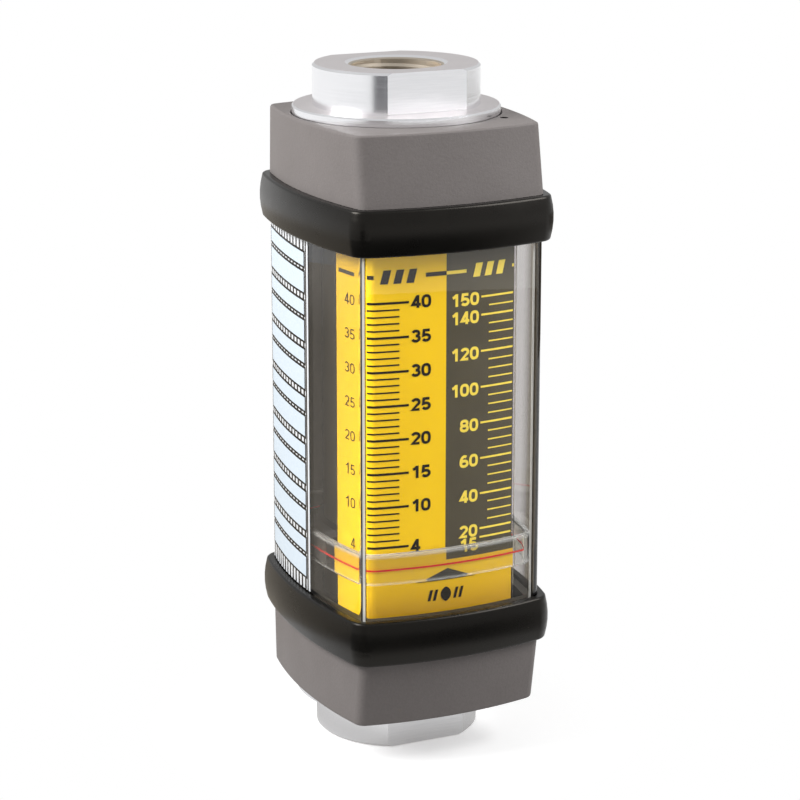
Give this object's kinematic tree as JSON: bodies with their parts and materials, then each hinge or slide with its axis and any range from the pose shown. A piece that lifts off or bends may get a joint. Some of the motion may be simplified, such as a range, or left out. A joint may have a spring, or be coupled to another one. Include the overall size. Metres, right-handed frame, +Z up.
{
  "type": "rotameter",
  "caption": "In-line variable-area flow meter: threaded metal ports, a clear turning guard with a printed scale, and a follower ring drawn along by a sprung piston.",
  "frame": {"origin": "on the port axis at the end face of the lower port", "axes": "+Z up along the port axis, -Y out of the scale face, -X out of the labelled side"},
  "size_m": [0.0644, 0.0732, 0.183],
  "materials": {
    "port_metal": "turned, satin",
    "casing_metal": "anodised, matt",
    "inner_metal": "machined",
    "spring_steel": "bright wire",
    "seal_rubber": "smooth",
    "magnet_dark": "ground, dark",
    "carrier_dark": "moulded",
    "cap_grey": "fine moulded texture",
    "bumper_rubber": "smooth, slight sheen",
    "window_clear": "clear, polished",
    "support_clear": "clear, edges pale",
    "scale_print": "printed film",
    "label_print": "printed film",
    "wear_polymer": "smooth",
    "follower_clear": "clear, polished",
    "line_red": "printed line"
  },
  "bodies": {
    "casing": {"lower_port": "port_metal", "upper_port": "port_metal", "lower_port_seal": "seal_rubber", "upper_port_seal": "seal_rubber", "pressure_casing": "casing_metal", "lower_retaining_ring": "inner_metal", "upper_retaining_ring": "inner_metal", "lower_spider": "inner_metal", "upper_spider": "inner_metal", "metering_cone": "inner_metal", "lower_cone_nut": "inner_metal", "upper_cone_nut": "inner_metal", "return_spring": "spring_steel"},
    "piston": {"piston_carrier": "inner_metal", "orifice_plate": "inner_metal", "piston_magnet": "magnet_dark", "magnet_clip": "inner_metal"},
    "guard": {"lower_end_cap": "cap_grey", "upper_end_cap": "cap_grey", "lower_bumper": "bumper_rubber", "upper_bumper": "bumper_rubber", "guard_window": "window_clear", "scale_support": "support_clear", "scale_sheet": "scale_print", "side_label": "label_print", "lower_wear_ring": "wear_polymer", "upper_wear_ring": "wear_polymer"},
    "follower": {"follower_ring": "follower_clear", "follower_line": "line_red", "follower_carrier": "carrier_dark", "follower_magnet_left": "magnet_dark", "follower_magnet_right": "magnet_dark"}
  },
  "joints": [
    {"name": "guard_turn", "type": "hinge", "parent": "casing", "child": "guard", "pos_m": [0, 0, 0.0915], "axis": [0, 0, 1], "continuous": true},
    {"name": "piston_slide", "type": "slide", "parent": "casing", "child": "piston", "axis": [0, 0, 1], "range_m": [0, 0.073], "stiffness_N_per_m": 40, "springref_m": -0.02, "deforming": ["return_spring"]},
    {"name": "follower_slide", "type": "slide", "parent": "guard", "child": "follower", "axis": [0, 0, 1], "range_m": [0, 0.073]}
  ],
  "couplings": [
    {"joint": "follower_slide", "follows": "piston_slide", "ratio": 1}
  ]
}
